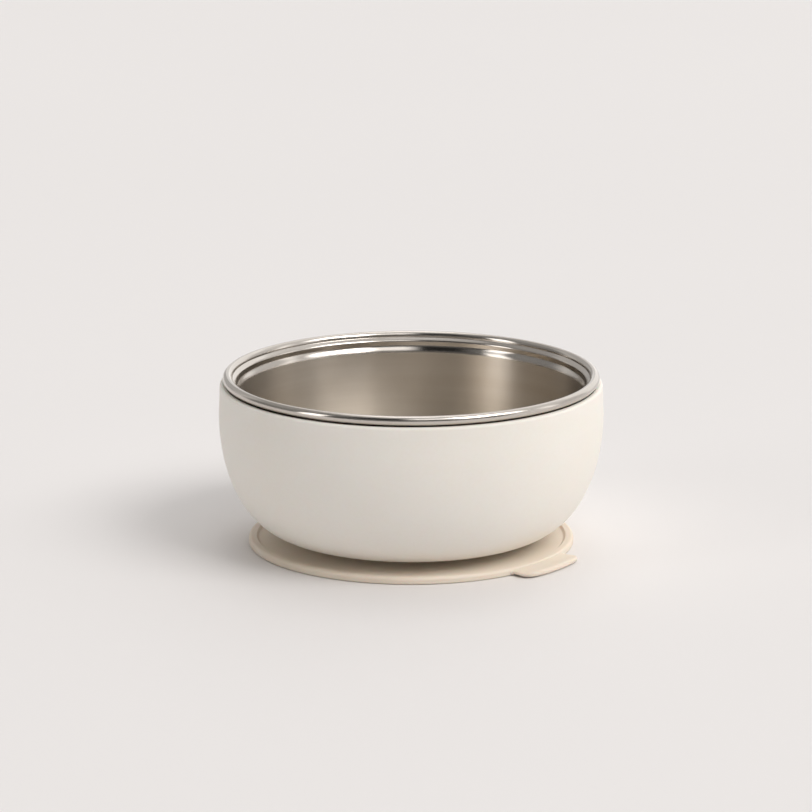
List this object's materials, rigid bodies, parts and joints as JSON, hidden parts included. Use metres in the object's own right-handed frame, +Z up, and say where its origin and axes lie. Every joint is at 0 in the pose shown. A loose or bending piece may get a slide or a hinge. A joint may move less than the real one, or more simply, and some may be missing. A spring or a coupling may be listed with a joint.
{
  "type": "suction bowl",
  "caption": "Toddler's suction bowl: a steel food bowl lifts out of a moulded outer shell that stands on a silicone suction cup with a release tab.",
  "frame": {"origin": "on the bowl's axis at the table surface, under the flat lip of the suction cup", "axes": "+Z up along the bowl's axis; +X points at the release tab"},
  "size_m": [0.1272, 0.1272, 0.0575],
  "materials": {
    "liner_steel": "satin spun inside, polished rolled rim",
    "gasket_silicone": "milky translucent silicone",
    "shell_plastic": "soft matte cream",
    "inner_plastic": "matte cream",
    "cup_silicone": "matte cream silicone"
  },
  "bodies": {
    "cup": {"suction_cup": "cup_silicone"},
    "tab": {"release_tab": "cup_silicone"},
    "shell": {"outer_shell": "shell_plastic", "cup_retainer": "inner_plastic", "locking_pin": "inner_plastic"},
    "liner": {"steel_liner": "liner_steel", "liner_gasket": "gasket_silicone"}
  },
  "joints": [
    {"name": "press_down", "type": "slide", "parent": "cup", "child": "shell", "axis": [0, 0, -1], "range_m": [0, 0.0015], "stiffness_N_per_m": 8000, "springref_m": -0.0003, "deforming": ["suction_cup"]},
    {"name": "tab_lift", "type": "hinge", "parent": "cup", "child": "tab", "pos_m": [0.0535, 0, 0.0024], "axis": [0, -1, 0], "range_deg": [0, 60], "stiffness_Nm_per_rad": 0.006},
    {"name": "liner_lift", "type": "slide", "parent": "shell", "child": "liner", "axis": [0, 0, 1], "range_m": [0, 0.06]}
  ]
}
